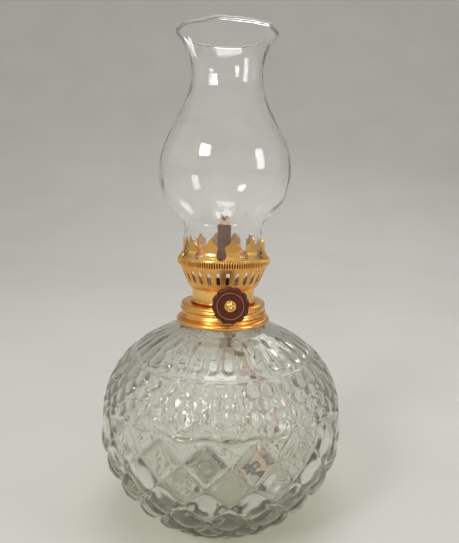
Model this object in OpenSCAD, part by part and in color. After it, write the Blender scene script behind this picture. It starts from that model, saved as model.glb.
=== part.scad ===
// Small clear-glass oil lamp with a screw-on brass burner and a lift-out glass chimney.
// Millimetres, +Z up. The origin is the centre of the flat foot, on the surface the lamp stands on.
// -Y is the front, where the wick knob is.

/* [Font] */
// Radius of the round glass font at its widest
font_r = 50.3; // [49:0.1:51]
// Height of the widest part above the foot
belly_z = 42; // [40:0.5:44]
// Radius of the flat foot
foot_r = 24; // [22:0.5:26]
// Thickness of the font's side wall
font_wall = 3.3; // [2.6:0.1:4]
// Thickness of the font's base
base_wall = 5; // [4:0.5:7]
// Radius of the threaded glass neck at its thread root
neck_r = 15; // [14.8:0.1:15.1]
// Radius of the neck's bore
bore_r = 11.5; // [11:0.1:11.8]
// Height of the neck's lip
lip_z = 90.9; // [90.9:0.1:90.9]

/* [Screw thread] */
// Rise of the cap in one turn
pitch = 3; // [3:0.1:3.2]
// Height of the glass thread ridge above its root
ridge_h = 1.2; // [1:0.1:1.2]

/* [Burner] */
// Thickness of the pressed brass sheet
sheet = 0.5; // [0.4:0.05:0.5]
// Height of the cap's top face
cap_z = 92.2; // [92.2:0.1:92.2]
// Outer radius of the cap's barrel
cap_r = 17.4; // [17.3:0.1:17.6]
// Radius of the drum between cap and basket
drum_r = 12.9; // [12.8:0.05:13]
// Height where the basket starts
basket_z = 98.2; // [98.2:0.1:98.4]
// Outer radius of the basket at its top
basket_r = 17.9; // [17.8:0.1:18]
// Number of air slots around the basket
slots = 28; // [24:1:30]
// Height of the knurled gallery ring's lower face
gallery_z = 107.9; // [107.9:0.1:107.9]
// Outer radius of the gallery ring
gallery_r = 18.9; // [18.6:0.1:19.1]
// Number of prongs on the crown
prongs = 12; // [10:1:14]
// Inner radius of the prongs
prong_in_r = 16.3; // [16.3:0.05:16.4]
// Height of the prong tips
prong_tip_z = 119; // [118:0.5:120]

/* [Wick and its drive] */
// Outer radius of the wick tube
tube_r = 2.85; // [2.85:0.05:2.85]
// Radius of the wick
wick_r = 2.4; // [2.3:0.05:2.4]
// Height of the wick tube's top
tube_top_z = 125; // [123:0.5:126]
// Height of the wick's tip
wick_top_z = 127.4; // [126.5:0.1:129]
// Distance of the shaft from the wick's axis
shaft_x = 4.2; // [4.2:0.05:4.25]
// Height of the shaft
shaft_z = 95.7; // [95.6:0.05:95.8]
// Radius of the shaft
shaft_r = 0.8; // [0.7:0.05:0.8]
// Radius of the knob
knob_r = 7.15; // [6.8:0.05:7.4]
// Number of scallops around the knob
scallops = 12; // [10:1:14]

/* [Chimney] */
// Radius of the fitter that stands in the crown
fitter_r = 16.15; // [16:0.05:16.15]
// Radius of the chimney's bulge
bulge_r = 26.5; // [25:0.5:28]
// Radius of the chimney's narrow throat
throat_r = 14.3; // [13.5:0.1:15]
// Radius of the flared rim
rim_r = 19.6; // [18:0.1:21]
// Height of the rim above the foot
rim_z = 197.8; // [196:0.2:199]
// Thickness of the chimney's glass
glass_t = 1.5; // [1.2:0.1:1.6]

/* [Hidden] */
$fn = 96;

run_fit = 0.03;            // radial clearance of the shaft in its bearings
shoulder = [20, 82];       // where the font's shoulder meets its neck
ridge_root = 0.6;          // half width of a thread ridge at its root
ridge_crest = 0.25;        // half width of a thread ridge at its crest
ridge_bury = 0.3;          // how far a ridge is sunk into its wall
font_thread_z = 84.4;      // start of the glass thread
cap_in_r = cap_r - 0.7;    // barrel wall is two rolled thicknesses
cap_ridge_r = neck_r + 0.4;
bead_r = 1.2;              // curled edge at the cap's foot
bead_z = 84.9;
spigot_r = 12.4;           // drum spigot through the cap, and the drum's bore
gasket_t = 0.8;
plate_z = cap_z + 0.4;      // the wick plate stands on the step inside the drum
tube_bore_r = 2.5;
tube_low_z = 84;
wheel_r = 2.3;
wheel_w = 3;
ear_y = 1.9;               // inner face of the bracket's ears
knob_face_y = -25.8;       // front face of the knob
knob_t = 3.4;
deck_z = 104.5;
ledge_r = 14.8;            // inner edge of the chimney's seat
seat_z = gallery_z + 0.4;
gallery_h = 3;
crown_z = gallery_z + gallery_h;
wick_joint_z = 80;         // where the free tail starts
tail_points = [            // centre line of the free wick tail: it bows to +X and ends on the font's floor
  [0, 0, wick_joint_z], [0, 0, 78.6], [0.7, 0, 76], [2.2, 0, 73], [4.8, 0, 69.5], [8, 0.2, 66.3], [11.4, 0.5, 62.8],
  [14.6, 1, 58.8], [17.4, 1.5, 54.4], [19.6, 1.8, 49.8], [21.2, 2, 45], [22.2, 2, 40], [22.4, 2, 35],
  [21.8, 1.8, 30], [20.2, 1.5, 25.2], [17.6, 1, 20.8], [14.4, 0.4, 16.9], [10.8, -0.2, 13.6],
  [6.8, -0.8, 10.9], [2.6, -1.3, 9], [-1.8, -1.6, 8], [-6.2, -1.6, 7.7], [-10.6, -1.2, 7.7],
  [-14.8, -0.4, 7.8]];

brass = [0.83, 0.6, 0.25];
bronze = [0.35, 0.25, 0.18];
clear_glass = [0.85, 0.9, 0.87, 0.4];

// Point list of a cubic curve from a to d with handles b and c.
function curve(a, b, c, d, n) = [for (i = [0:n]) let (t = i / n, s = 1 - t)
  s * s * s * a + 3 * s * s * t * b + 3 * s * t * t * c + t * t * t * d];

// Point list of an arc about c.
function arc(c, r, from, to, n) = [for (i = [0:n]) let (a = from + (to - from) * i / n)
  c + r * [cos(a), sin(a)]];

function reversed(p) = [for (i = [len(p) - 1:-1:0]) p[i]];

// Outward normal of an upward profile at its point i.
function side(p, i) = let (d = p[min(i + 1, len(p) - 1)] - p[max(i - 1, 0)])
  [d[1], -d[0]] / norm(d);

// Closed outline of a sheet of thickness t on the inside of an upward profile.
// Its two ends are cut level if level is true, and square to the sheet if not.
function shell(p, t, level) = concat(p, reversed([for (i = [0:len(p) - 1])
  p[i] - t * (level && (i == 0 || i == len(p) - 1) ? [1, 0] : side(p, i))]));

module ring(r_out, r_in, z, h) {
  translate([0, 0, z]) difference() {
    cylinder(r = r_out, h = h);
    translate([0, 0, -1]) cylinder(r = r_in, h = h + 2);
  }
}

// A straight hole or rod along +Y from y, on the shaft's axis.
module along_shaft(r, y, length) {
  translate([shaft_x, y, shaft_z]) rotate([-90, 0, 0]) cylinder(r = r, h = length);
}

// Helical ridge on a wall of radius wall_r, standing out to crest_r.
// z_start is its height at the front of the +X side, and it runs up counter-clockwise.
module thread_ridge(wall_r, crest_r, z_start, turns) {
  steps = ceil(turns * 36);
  way = sign(crest_r - wall_r);
  function height(i) = min(1, (i + 1) / 5, (steps - i + 1) / 5);
  rings = [for (i = [0:steps]) let (a = 10 * i, z = z_start + pitch * a / 360,
      crest = wall_r + (crest_r - wall_r) * height(i), root = wall_r - way * ridge_bury)
    each [for (q = [[root, -ridge_root], [crest, -ridge_crest], [crest, ridge_crest],
                    [root, ridge_root]])
      [q[0] * cos(a), q[0] * sin(a), z + q[1]]]];
  quads = [for (i = [0:steps - 1]) for (j = [0:3])
    [4 * i + j, 4 * i + (j + 1) % 4, 4 * i + 4 + (j + 1) % 4, 4 * i + 4 + j]];
  caps = [[3, 2, 1, 0], [for (j = [0:3]) 4 * steps + j]];
  faces = concat(quads, caps);
  polyhedron(rings, way > 0 ? faces : [for (f = faces) reversed(f)], convexity = 8);
}

font_outer = concat(
  curve([foot_r, 0], [foot_r + 11, 6.5], [font_r, 24], [font_r, belly_z], 14),
  curve([font_r, belly_z], [font_r, 60], [42.5, 74.5], shoulder, 16),
  curve(shoulder, [17.5, 82.4], [neck_r, 82.4], [neck_r, 83.8], 6),
  arc([neck_r - 0.7, lip_z - 0.7], 0.7, 0, 90, 5));

font_inner = concat(
  curve([foot_r - 7, base_wall], [foot_r + 8, base_wall + 6], [font_r - font_wall, 25.5],
        [font_r - font_wall, belly_z], 14),
  curve([font_r - font_wall, belly_z], [font_r - font_wall, 58.5], [38.5, 71.5], [16, 78], 16),
  curve([16, 78], [13, 78.8], [bore_r, 79.2], [bore_r, 81.5], 6),
  arc([bore_r + 0.6, lip_z - 0.6], 0.6, 180, 90, 5));

chimney_outer = concat(
  curve([fitter_r, seat_z], [fitter_r, 112], [fitter_r, 117], [fitter_r + 0.1, 120], 4),
  curve([fitter_r + 0.1, 120], [fitter_r + 0.4, 121.5], [15.8, 122.5], [16.6, 124.6], 6),
  curve([16.6, 124.6], [18, 128], [bulge_r, 132], [bulge_r, 145], 14),
  curve([bulge_r, 145], [bulge_r, 160], [throat_r, 168], [throat_r, 182], 18),
  curve([throat_r, 182], [throat_r, 190], [16.8, 193.6], [rim_r, rim_z - glass_t / 2], 10));

basket_outer = concat(
  curve([drum_r + 0.6, basket_z + 0.3], [14.2, 98.7], [14.6, 99.6], [15.2, 101], 5),
  curve([15.2, 101], [16, 103], [17, 105], [basket_r, gallery_z], 6));

crown_outer = concat(
  curve([gallery_r - 0.2, crown_z], [gallery_r - 0.7, crown_z + 1.2],
        [prong_in_r + sheet, crown_z + 1.8], [prong_in_r + sheet, crown_z + 3.6], 8),
  [[prong_in_r + sheet, prong_tip_z]]);

module font() color(clear_glass) {
  rotate_extrude() polygon(concat([[0, 0]], font_outer, reversed(font_inner), [[0, base_wall]]));
  thread_ridge(neck_r, neck_r + ridge_h, font_thread_z, 1.65);
}

module screw_cap() color(brass) {
  rotate_extrude() polygon(concat(
    [[spigot_r, cap_z - sheet], [cap_in_r, cap_z - sheet], [cap_in_r, bead_z - bead_r]],
    [[cap_in_r + 1, bead_z - bead_r]], arc([cap_in_r + 1.5, bead_z], bead_r, -90, 90, 10),
    [[cap_r, bead_z + bead_r]], arc([cap_r - 0.8, cap_z - 0.8], 0.8, 0, 90, 6),
    [[spigot_r, cap_z]]));
  thread_ridge(cap_in_r, cap_ridge_r, font_thread_z + pitch / 2, 1.4);
}

module cap_gasket() color("dimgray") ring(cap_in_r - 0.3, 13.2, cap_z - sheet - gasket_t, gasket_t);

module burner_drum() color(brass) {
  foot_z = 94.2;
  difference() {
    rotate_extrude() polygon(concat(
      [[spigot_r - 0.4, 91.3], [spigot_r + 0.7, 91.3], [spigot_r + 0.7, cap_z - sheet],
       [spigot_r, cap_z - sheet], [spigot_r, cap_z], [drum_r, cap_z]],
      arc([drum_r - 0.4, (cap_z + foot_z) / 2], (foot_z - cap_z) / 2, -60, 60, 6),
      [[drum_r, foot_z], [drum_r, basket_z], [spigot_r, basket_z], [spigot_r, plate_z],
       [spigot_r - 0.4, plate_z]]));
    along_shaft(1.2, -20, 20);
  }
}

module wick_plate() color(brass) difference() {
  translate([0, 0, plate_z]) cylinder(r = spigot_r, h = 0.4);
  translate([0, 0, plate_z - 1]) cylinder(r = tube_r, h = 3);
  translate([-8, 0, plate_z - 1]) cylinder(r = 0.8, h = 3);
}

module air_basket() color(brass) {
  slot_w = 1.5;
  slot_low = 101.2;
  slot_high = 106.4;
  difference() {
    union() {
      rotate_extrude() polygon(shell(basket_outer, sheet, true));
      ring(drum_r + 0.65, spigot_r, basket_z, sheet);
    }
    for (i = [0:slots - 1]) rotate([0, 0, -94 + 360 * i / slots]) translate([13, 0, 0])
      rotate([90, 0, 90]) linear_extrude(6) {
        translate([0, slot_low + slot_w / 2]) circle(d = slot_w, $fn = 24);
        translate([0, slot_high - slot_w / 2]) circle(d = slot_w, $fn = 24);
        translate([-slot_w / 2, slot_low + slot_w / 2]) square([slot_w, slot_high - slot_low - slot_w]);
      }
  }
}

module gallery_ring() color(brass) {
  knurls = 120;
  difference() {
    translate([0, 0, gallery_z]) linear_extrude(gallery_h) difference() {
      polygon([for (i = [0:2 * knurls - 1]) let (r = gallery_r - 0.2 * (i % 2))
        r * [cos(180 * i / knurls), sin(180 * i / knurls)]]);
      circle(r = ledge_r);
    }
    translate([0, 0, seat_z]) cylinder(r = gallery_r - 0.9, h = gallery_h);
  }
}

// Outline of the gap between two prongs: a round-bottomed keyhole that flares at the top.
module prong_gap() {
  gap_z = crown_z + 0.4;
  edge = concat(
    curve([1.9, gap_z + 2.2], [1.7, gap_z + 3.6], [1.35, gap_z + 3.8], [1.35, gap_z + 4.8], 4),
    curve([1.35, gap_z + 4.8], [1.5, gap_z + 5.8], [3.4, gap_z + 5.6], [3.2, gap_z + 7.2], 6),
    [[3.4, prong_tip_z - 0.4], [4.2, prong_tip_z], [4.4, prong_tip_z + 1]]);
  translate([0, gap_z + 1.95]) circle(r = 1.95, $fn = 40);
  polygon(concat(edge, reversed([for (p = edge) [-p[0], p[1]]])));
}

module crown() color(brass) difference() {
  rotate_extrude() polygon(shell(crown_outer, sheet, true));
  for (i = [0:prongs - 1]) rotate([0, 0, -90 + 360 * i / prongs]) translate([12, 0, 0])
    rotate([90, 0, 90]) linear_extrude(8) prong_gap();
}

module deck_plate() color(brass) difference() {
  translate([0, 0, deck_z]) cylinder(r = 16, h = 0.4);
  translate([0, 0, deck_z - 1]) cylinder(r = tube_r, h = 3);
  for (i = [0:11]) rotate([0, 0, 30 * i]) translate([10.5, 0, deck_z - 1]) cylinder(r = 1.6, h = 3, $fn = 32);
}

module wick_tube() color(bronze) difference() {
  translate([0, 0, tube_low_z]) cylinder(r = tube_r, h = tube_top_z - tube_low_z);
  translate([0, 0, tube_low_z - 1]) cylinder(r = tube_bore_r, h = tube_top_z - tube_low_z + 2);
  translate([0.5, -1.75, shaft_z - 2.4]) cube([4, 3.5, 4.8]);
}

module tube_ferrule() color(brass) {
  ring(4, tube_r, 88.6, plate_z - 88.6);
  ring(5.2, tube_r, plate_z - 0.6, 0.6);
}

module wheel_bracket() color(brass) difference() {
  translate([3.1, -ear_y - sheet, plate_z + 0.4]) cube([4.2, 2 * (ear_y + sheet), 5.2]);
  translate([3, -ear_y, plate_z]) cube([3.8, 2 * ear_y, 8]);
  along_shaft(shaft_r + run_fit, -4, 8);
}

module wick() color("linen") difference() {
  translate([0, 0, wick_joint_z]) cylinder(r = wick_r, h = wick_top_z - wick_joint_z);
  translate([1.8, -3, 84]) cube([3, 6, 24]);
}

// A round tube swept along a list of points, with n sides. No stretch of it runs along Y.
module swept(points, r, n) {
  last = len(points) - 1;
  function heading(i) = let (d = points[min(i + 1, last)] - points[max(i - 1, 0)]) d / norm(d);
  function frame(t) = let (u = cross([0, 1, 0], t)) [u / norm(u), cross(t, u / norm(u))];
  rings = [for (i = [0:last]) let (uv = frame(heading(i)))
    each [for (j = [0:n - 1]) let (a = 360 * j / n) points[i] + r * (cos(a) * uv[0] + sin(a) * uv[1])]];
  walls = [for (i = [0:last - 1]) for (j = [0:n - 1])
    [n * i + j, n * i + n + j, n * i + n + (j + 1) % n, n * i + (j + 1) % n]];
  ends = [[for (j = [0:n - 1]) j], [for (j = [n - 1:-1:0]) n * last + j]];
  polyhedron(rings, concat(walls, ends), convexity = 6);
}

module wick_tail() color("linen") swept(tail_points, wick_r, 10);

module feed_wheel() color("silver") translate([shaft_x, -wheel_w / 2, shaft_z]) rotate([-90, 0, 0])
  linear_extrude(wheel_w) difference() {
    polygon([for (i = [0:23]) (i % 2 == 0 ? wheel_r : wheel_r - 0.5) * [cos(15 * i), sin(15 * i)]]);
    circle(r = shaft_r);
  }

module adjuster_shaft() color("silver") along_shaft(shaft_r, knob_face_y, 3.6 - knob_face_y);

module shaft_bush() color(brass) difference() {
  union() {
    along_shaft(1.2, -14.4, 3.6);
    along_shaft(2, -13.5, 0.6);
  }
  along_shaft(shaft_r + run_fit, -20, 20);
}

module shaft_washer() color("silver") difference() {
  along_shaft(1.7, 2.6, 0.5);
  along_shaft(shaft_r, 2, 2);
}

module knob() color([0.2, 0.07, 0.06]) difference() {
  union() {
    translate([shaft_x, knob_face_y, shaft_z]) rotate([-90, 0, 0]) linear_extrude(knob_t)
      polygon([for (i = [0:scallops * 10 - 1]) let (a = 360 * i / (scallops * 10))
        (knob_r - 0.3 + 0.3 * cos(scallops * a)) * [cos(a), sin(a)]]);
    along_shaft(2.6, knob_face_y + knob_t, 2.4);
  }
  along_shaft(shaft_r, knob_face_y - 1, 8);
  along_shaft(4.9, knob_face_y - 1, 1.3);
}

module knob_washer() color(brass) difference() {
  along_shaft(2.2, knob_face_y - 0.1, 0.4);
  along_shaft(shaft_r, knob_face_y - 1, 3);
}

module knob_rivet() color(brass) translate([shaft_x, knob_face_y - 0.1, shaft_z]) rotate([90, 0, 0])
  rotate_extrude($fn = 48) polygon([[0, 0], [1.45, 0], [1.35, 0.4], [0.9, 0.75], [0, 0.9]]);

module chimney() color(clear_glass)
  rotate_extrude() polygon(shell(chimney_outer, glass_t, false));

font();
screw_cap();
cap_gasket();
burner_drum();
wick_plate();
air_basket();
gallery_ring();
crown();
deck_plate();
wick_tube();
tube_ferrule();
wheel_bracket();
wick();
wick_tail();
feed_wheel();
adjuster_shaft();
shaft_bush();
shaft_washer();
knob();
knob_washer();
knob_rivet();
chimney();
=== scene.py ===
"""Looks of a small pressed-glass oil lamp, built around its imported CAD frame.

+Z is up and -Y is the knob's side. Shapes are given in millimetres and become metres in add_mesh.
"""

import math

import bmesh
import bpy
import numpy as np
from mathutils import Matrix, Vector


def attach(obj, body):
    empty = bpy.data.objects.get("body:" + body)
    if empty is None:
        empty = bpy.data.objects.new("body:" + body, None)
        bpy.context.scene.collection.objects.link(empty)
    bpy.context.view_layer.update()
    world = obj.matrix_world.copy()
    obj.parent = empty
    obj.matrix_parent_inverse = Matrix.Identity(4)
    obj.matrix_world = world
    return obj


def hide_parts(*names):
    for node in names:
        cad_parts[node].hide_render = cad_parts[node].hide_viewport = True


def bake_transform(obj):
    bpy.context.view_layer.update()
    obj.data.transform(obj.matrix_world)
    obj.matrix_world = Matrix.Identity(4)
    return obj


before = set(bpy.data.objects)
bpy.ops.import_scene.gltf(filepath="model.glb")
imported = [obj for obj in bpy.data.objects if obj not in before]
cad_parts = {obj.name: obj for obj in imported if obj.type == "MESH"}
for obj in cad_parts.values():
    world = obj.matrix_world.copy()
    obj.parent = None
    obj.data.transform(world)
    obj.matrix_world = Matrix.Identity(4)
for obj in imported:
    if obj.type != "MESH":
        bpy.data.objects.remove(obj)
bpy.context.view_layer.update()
MM = 0.001
FULL_TURN = 2 * math.pi


# ---------------------------------------------------------------- camera

def make_camera():
    """A close camera just right of the front, a little above the burner, looking slightly down."""
    azimuth, distance, height = math.radians(3.3), 0.210, 0.1387
    pitch, yaw, roll = math.radians(9.25), math.radians(0.67), math.radians(1.0)
    data = bpy.data.cameras.new("camera")
    data.sensor_width, data.lens = 36.0, 33.94
    data.clip_start, data.clip_end = 0.01, 50
    cam = bpy.data.objects.new("camera", data)
    bpy.context.collection.objects.link(cam)
    heading = azimuth - yaw
    ahead = Vector((-math.sin(heading) * math.cos(pitch),
                    math.cos(heading) * math.cos(pitch),
                    -math.sin(pitch)))
    right = ahead.cross(Vector((0, 0, 1))).normalized()
    up = right.cross(ahead)
    right_r = right * math.cos(roll) + up * math.sin(roll)
    up_r = up * math.cos(roll) - right * math.sin(roll)
    turn = Matrix((right_r, up_r, -ahead)).transposed().to_4x4()
    place = Vector((distance * math.sin(azimuth), -distance * math.cos(azimuth), height))
    cam.matrix_world = Matrix.Translation(place) @ turn
    bpy.context.scene.camera = cam


make_camera()


# ---------------------------------------------------------------- mesh helpers

def add_mesh(name, verts, faces, smooth_deg=40):
    """A mesh object from points in millimetres."""
    me = bpy.data.meshes.new(name)
    me.from_pydata([tuple(c * MM for c in v) for v in verts], [], faces)
    me.validate()
    me.polygons.foreach_set("use_smooth", [True] * len(me.polygons))
    me.update()
    if smooth_deg < 180:
        me.set_sharp_from_angle(angle=math.radians(smooth_deg))
    ob = bpy.data.objects.new(name, me)
    bpy.context.collection.objects.link(ob)
    return ob


def cubic(a, b, c, d, n, first=True):
    """Points along a Bezier curve, with or without its first point."""
    t = np.linspace(0, 1, n + 1)[:, None]
    a, b, c, d = (np.array(p, float) for p in (a, b, c, d))
    pts = (1 - t) ** 3 * a + 3 * (1 - t) ** 2 * t * b + 3 * (1 - t) * t ** 2 * c + t ** 3 * d
    return pts if first else pts[1:]


def arc(c, r, start, end, n):
    """Points along an arc between two angles in degrees."""
    a = np.radians(np.linspace(start, end, n + 1))
    return np.stack([c[0] + r * np.cos(a), c[1] + r * np.sin(a)], 1)


def ramp01(x, a, b):
    """A soft step, from 0 at a to 1 at b."""
    t = np.clip((x - a) / (b - a), 0, 1)
    return t * t * (3 - 2 * t)


def normals_2d(p):
    """Outward normals of an upward profile of (r, z) points."""
    d = np.gradient(p, axis=0)
    n = np.stack([d[:, 1], -d[:, 0]], 1)
    return n / np.linalg.norm(n, axis=1)[:, None]


def round_outline(points, radius, n=3):
    """A closed outline of (r, z) points with each corner rounded off."""
    out = []
    pts = [np.array(p, float) for p in points]
    for i, p in enumerate(pts):
        a, b = pts[i - 1] - p, pts[(i + 1) % len(pts)] - p
        la, lb = np.linalg.norm(a), np.linalg.norm(b)
        cut = min(radius, 0.45 * la, 0.45 * lb)
        s, e = p + a / la * cut, p + b / lb * cut
        for k in range(n + 1):
            t = k / n
            out.append((1 - t) ** 2 * s + 2 * t * (1 - t) * p + t * t * e)
    return np.array(out)


def lathe(name, outline, columns, centre=(0, 0), moved=None, axis="z", smooth_deg=40):
    """A solid of revolution from a closed outline of (r, z) points that doesn't touch the axis.

    moved(r, z, angle) gives new r and z, for ridges and knurls.
    """
    outline = np.array(outline, float)
    n, angles = len(outline), np.linspace(0, FULL_TURN, columns, endpoint=False)
    verts = []
    for a in angles:
        r, z = outline[:, 0].copy(), outline[:, 1].copy()
        if moved:
            r, z = moved(r, z, a)
        c, s = math.cos(a), math.sin(a)
        for ri, zi in zip(r, z):
            if axis == "z":
                verts.append((centre[0] + ri * c, centre[1] + ri * s, zi))
            else:  # about a line along Y through (x, z) = centre
                verts.append((centre[0] + ri * c, zi, centre[1] - ri * s))
    faces = []
    for i in range(columns):
        here, there = i * n, ((i + 1) % columns) * n
        faces += [(here + j, there + j, there + (j + 1) % n, here + (j + 1) % n) for j in range(n)]
    ob = add_mesh(name, verts, faces, smooth_deg)
    face_outward(ob)
    return ob


def face_outward(ob):
    """Turns every face of a closed mesh outward."""
    me = ob.data
    me.calc_loop_triangles()
    co = np.array([v.co for v in me.vertices])
    tri = np.array([t.vertices for t in me.loop_triangles])
    a, b, c = co[tri[:, 0]], co[tri[:, 1]], co[tri[:, 2]]
    if float(np.einsum("ij,ij->i", a, np.cross(b, c)).sum()) < 0:
        me.flip_normals()


def ring_faces(start_a, start_b, n):
    """Quads between two rings of n points, given by their first points."""
    return [(start_a + i, start_a + (i + 1) % n, start_b + (i + 1) % n, start_b + i) for i in range(n)]


# ---------------------------------------------------------------- material helpers

def new_material(name):
    mat = bpy.data.materials.new(name)
    mat.use_nodes = True
    nt = mat.node_tree
    nt.nodes.clear()
    out = nt.nodes.new("ShaderNodeOutputMaterial")
    return mat, nt, out


def node(nt, kind, **values):
    n = nt.nodes.new(kind)
    for k, v in values.items():
        if k in n.inputs:
            n.inputs[k].default_value = v
        else:
            setattr(n, k, v)
    return n


def object_coords(nt, scale=(1, 1, 1)):
    tc = nt.nodes.new("ShaderNodeTexCoord")
    mp = nt.nodes.new("ShaderNodeMapping")
    mp.inputs["Scale"].default_value = scale
    nt.links.new(tc.outputs["Object"], mp.inputs["Vector"])
    return mp.outputs["Vector"]


def ramp(nt, source, stops):
    r = nt.nodes.new("ShaderNodeValToRGB")
    els = r.color_ramp.elements
    while len(els) < len(stops):
        els.new(0.5)
    for e, (pos, col) in zip(els, stops):
        e.position = pos
        e.color = col if len(col) == 4 else (*col, 1)
    nt.links.new(source, r.inputs[0])
    return r.outputs["Color"]


def noise(nt, vector, scale, detail=3.0, rough=0.5):
    n = node(nt, "ShaderNodeTexNoise", Scale=scale, Detail=detail, Roughness=rough)
    nt.links.new(vector, n.inputs["Vector"])
    return n.outputs["Fac"]


def map_range(nt, source, low, high, a=0.0, b=1.0):
    m = node(nt, "ShaderNodeMapRange")
    for k, v in (("From Min", a), ("From Max", b), ("To Min", low), ("To Max", high)):
        m.inputs[k].default_value = v
    nt.links.new(source, m.inputs["Value"])
    return m.outputs["Result"]


def bump(nt, height, strength, distance, onto=None):
    b = node(nt, "ShaderNodeBump", Strength=strength, Distance=distance)
    nt.links.new(height, b.inputs["Height"])
    if onto is not None:
        nt.links.new(onto, b.inputs["Normal"])
    return b.outputs["Normal"]


def metal(name, low, high, tarnish, roughness=(0.16, 0.34), scratch=0.12, metallic=1.0):
    """Plated sheet metal: two tones in soft clouds, tarnish in spots, fine rubbing marks."""
    mat, nt, out = new_material(name)
    p = node(nt, "ShaderNodeBsdfPrincipled", Metallic=metallic)
    v = object_coords(nt)
    clouds = noise(nt, v, 140, 4, 0.55)
    base = ramp(nt, clouds, [(0.35, low), (0.65, high)])
    spots = ramp(nt, noise(nt, v, 620, 5, 0.65), [(0.55, (0, 0, 0)), (0.75, (1, 1, 1))])
    mix = node(nt, "ShaderNodeMixRGB", blend_type="MIX")
    nt.links.new(spots, mix.inputs["Fac"])
    nt.links.new(base, mix.inputs["Color1"])
    mix.inputs["Color2"].default_value = (*tarnish, 1)
    nt.links.new(mix.outputs["Color"], p.inputs["Base Color"])
    fine = object_coords(nt, (1, 1, 9))
    rub = noise(nt, fine, 900, 3, 0.6)
    nt.links.new(map_range(nt, rub, *roughness), p.inputs["Roughness"])
    soft = bump(nt, noise(nt, v, 260, 2, 0.5), 0.25, 0.0003)
    nt.links.new(bump(nt, rub, scratch, 0.00008, soft), p.inputs["Normal"])
    nt.links.new(p.outputs["BSDF"], out.inputs["Surface"])
    return mat


def clear_glass(name, tint, density, ripple, ripple_scale, film, haze):
    """Solid clear glass with faint ripples, a thin dusty film that is partly a painted milky sheen, and
    absorption by thickness.

    ripple is the waves' height in metres. film is the most roughness, and haze the share of the dusty film
    and painted sheen.
    """
    mat, nt, out = new_material(name)
    p = node(nt, "ShaderNodeBsdfPrincipled", IOR=1.5)
    p.inputs["Transmission Weight"].default_value = 1.0
    p.inputs["Base Color"].default_value = (1, 1, 1, 1)
    v = object_coords(nt)
    waves = noise(nt, object_coords(nt, (1, 1, 0.6)), ripple_scale, 2, 0.4)
    smears = noise(nt, v, 90, 4, 0.6)
    nt.links.new(map_range(nt, smears, 0.0, film, 0.45, 0.8), p.inputs["Roughness"])
    nt.links.new(bump(nt, waves, 1.0, ripple), p.inputs["Normal"])
    # Pale diffuse veil: partly a dusty film, partly a painted milky sheen.
    dust_and_sheen = node(nt, "ShaderNodeBsdfDiffuse")
    dust_and_sheen.inputs["Color"].default_value = (0.74, 0.73, 0.69, 1)
    dusty_sheen_mix = nt.nodes.new("ShaderNodeMixShader")
    nt.links.new(map_range(nt, smears, 0.4 * haze, 1.6 * haze, 0.3, 0.7), dusty_sheen_mix.inputs["Fac"])
    nt.links.new(p.outputs["BSDF"], dusty_sheen_mix.inputs[1])
    nt.links.new(dust_and_sheen.outputs["BSDF"], dusty_sheen_mix.inputs[2])
    clear = node(nt, "ShaderNodeBsdfTransparent")
    clear.inputs["Color"].default_value = (*tint, 1)
    path = nt.nodes.new("ShaderNodeLightPath")
    mix = nt.nodes.new("ShaderNodeMixShader")
    nt.links.new(path.outputs["Is Shadow Ray"], mix.inputs["Fac"])
    nt.links.new(dusty_sheen_mix.outputs["Shader"], mix.inputs[1])
    nt.links.new(clear.outputs["BSDF"], mix.inputs[2])
    nt.links.new(mix.outputs["Shader"], out.inputs["Surface"])
    vol = node(nt, "ShaderNodeVolumeAbsorption", Density=density)
    vol.inputs["Color"].default_value = (*tint, 1)
    nt.links.new(vol.outputs["Volume"], out.inputs["Volume"])
    return mat


def cotton(name):
    """Pinkish beige cotton with scorched patches, more of them lower down, and char on the tip."""
    mat, nt, out = new_material(name)
    p = node(nt, "ShaderNodeBsdfPrincipled", Roughness=0.9)
    p.inputs["Sheen Weight"].default_value = 0.3
    p.inputs["Sheen Roughness"].default_value = 0.5
    v = object_coords(nt)
    cloth = ramp(nt, noise(nt, v, 260, 4, 0.6), [(0.3, (0.50, 0.32, 0.26)), (0.7, (0.76, 0.56, 0.48))])
    xyz = nt.nodes.new("ShaderNodeSeparateXYZ")
    nt.links.new(v, xyz.inputs[0])
    burnt = nt.nodes.new("ShaderNodeMath")
    burnt.operation = "ADD"
    nt.links.new(noise(nt, v, 230, 4, 0.65), burnt.inputs[0])
    nt.links.new(map_range(nt, xyz.outputs["Z"], 0.07, -0.09, 0.006, 0.125), burnt.inputs[1])
    patch = ramp(nt, burnt.outputs[0], [(0.53, (0, 0, 0)), (0.57, (1, 1, 1))])
    scorched = node(nt, "ShaderNodeMixRGB", blend_type="MIX")
    scorched.inputs["Color2"].default_value = (0.02, 0.013, 0.01, 1)
    nt.links.new(patch, scorched.inputs["Fac"])
    nt.links.new(cloth, scorched.inputs["Color1"])
    wob = nt.nodes.new("ShaderNodeMath")
    wob.operation = "MULTIPLY_ADD"
    wob.inputs[1].default_value = 0.004
    nt.links.new(noise(nt, v, 500, 3, 0.6), wob.inputs[0])
    nt.links.new(xyz.outputs["Z"], wob.inputs[2])
    char = map_range(nt, wob.outputs[0], 0.0, 1.0, 0.1288, 0.1298)
    tip = node(nt, "ShaderNodeMixRGB", blend_type="MIX")
    tip.inputs["Color2"].default_value = (0.02, 0.015, 0.013, 1)
    nt.links.new(char, tip.inputs["Fac"])
    nt.links.new(scorched.outputs["Color"], tip.inputs["Color1"])
    nt.links.new(tip.outputs["Color"], p.inputs["Base Color"])
    nt.links.new(bump(nt, noise(nt, v, 2600, 2, 0.7), 0.5, 0.0002), p.inputs["Normal"])
    nt.links.new(p.outputs["BSDF"], out.inputs["Surface"])
    return mat


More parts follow.
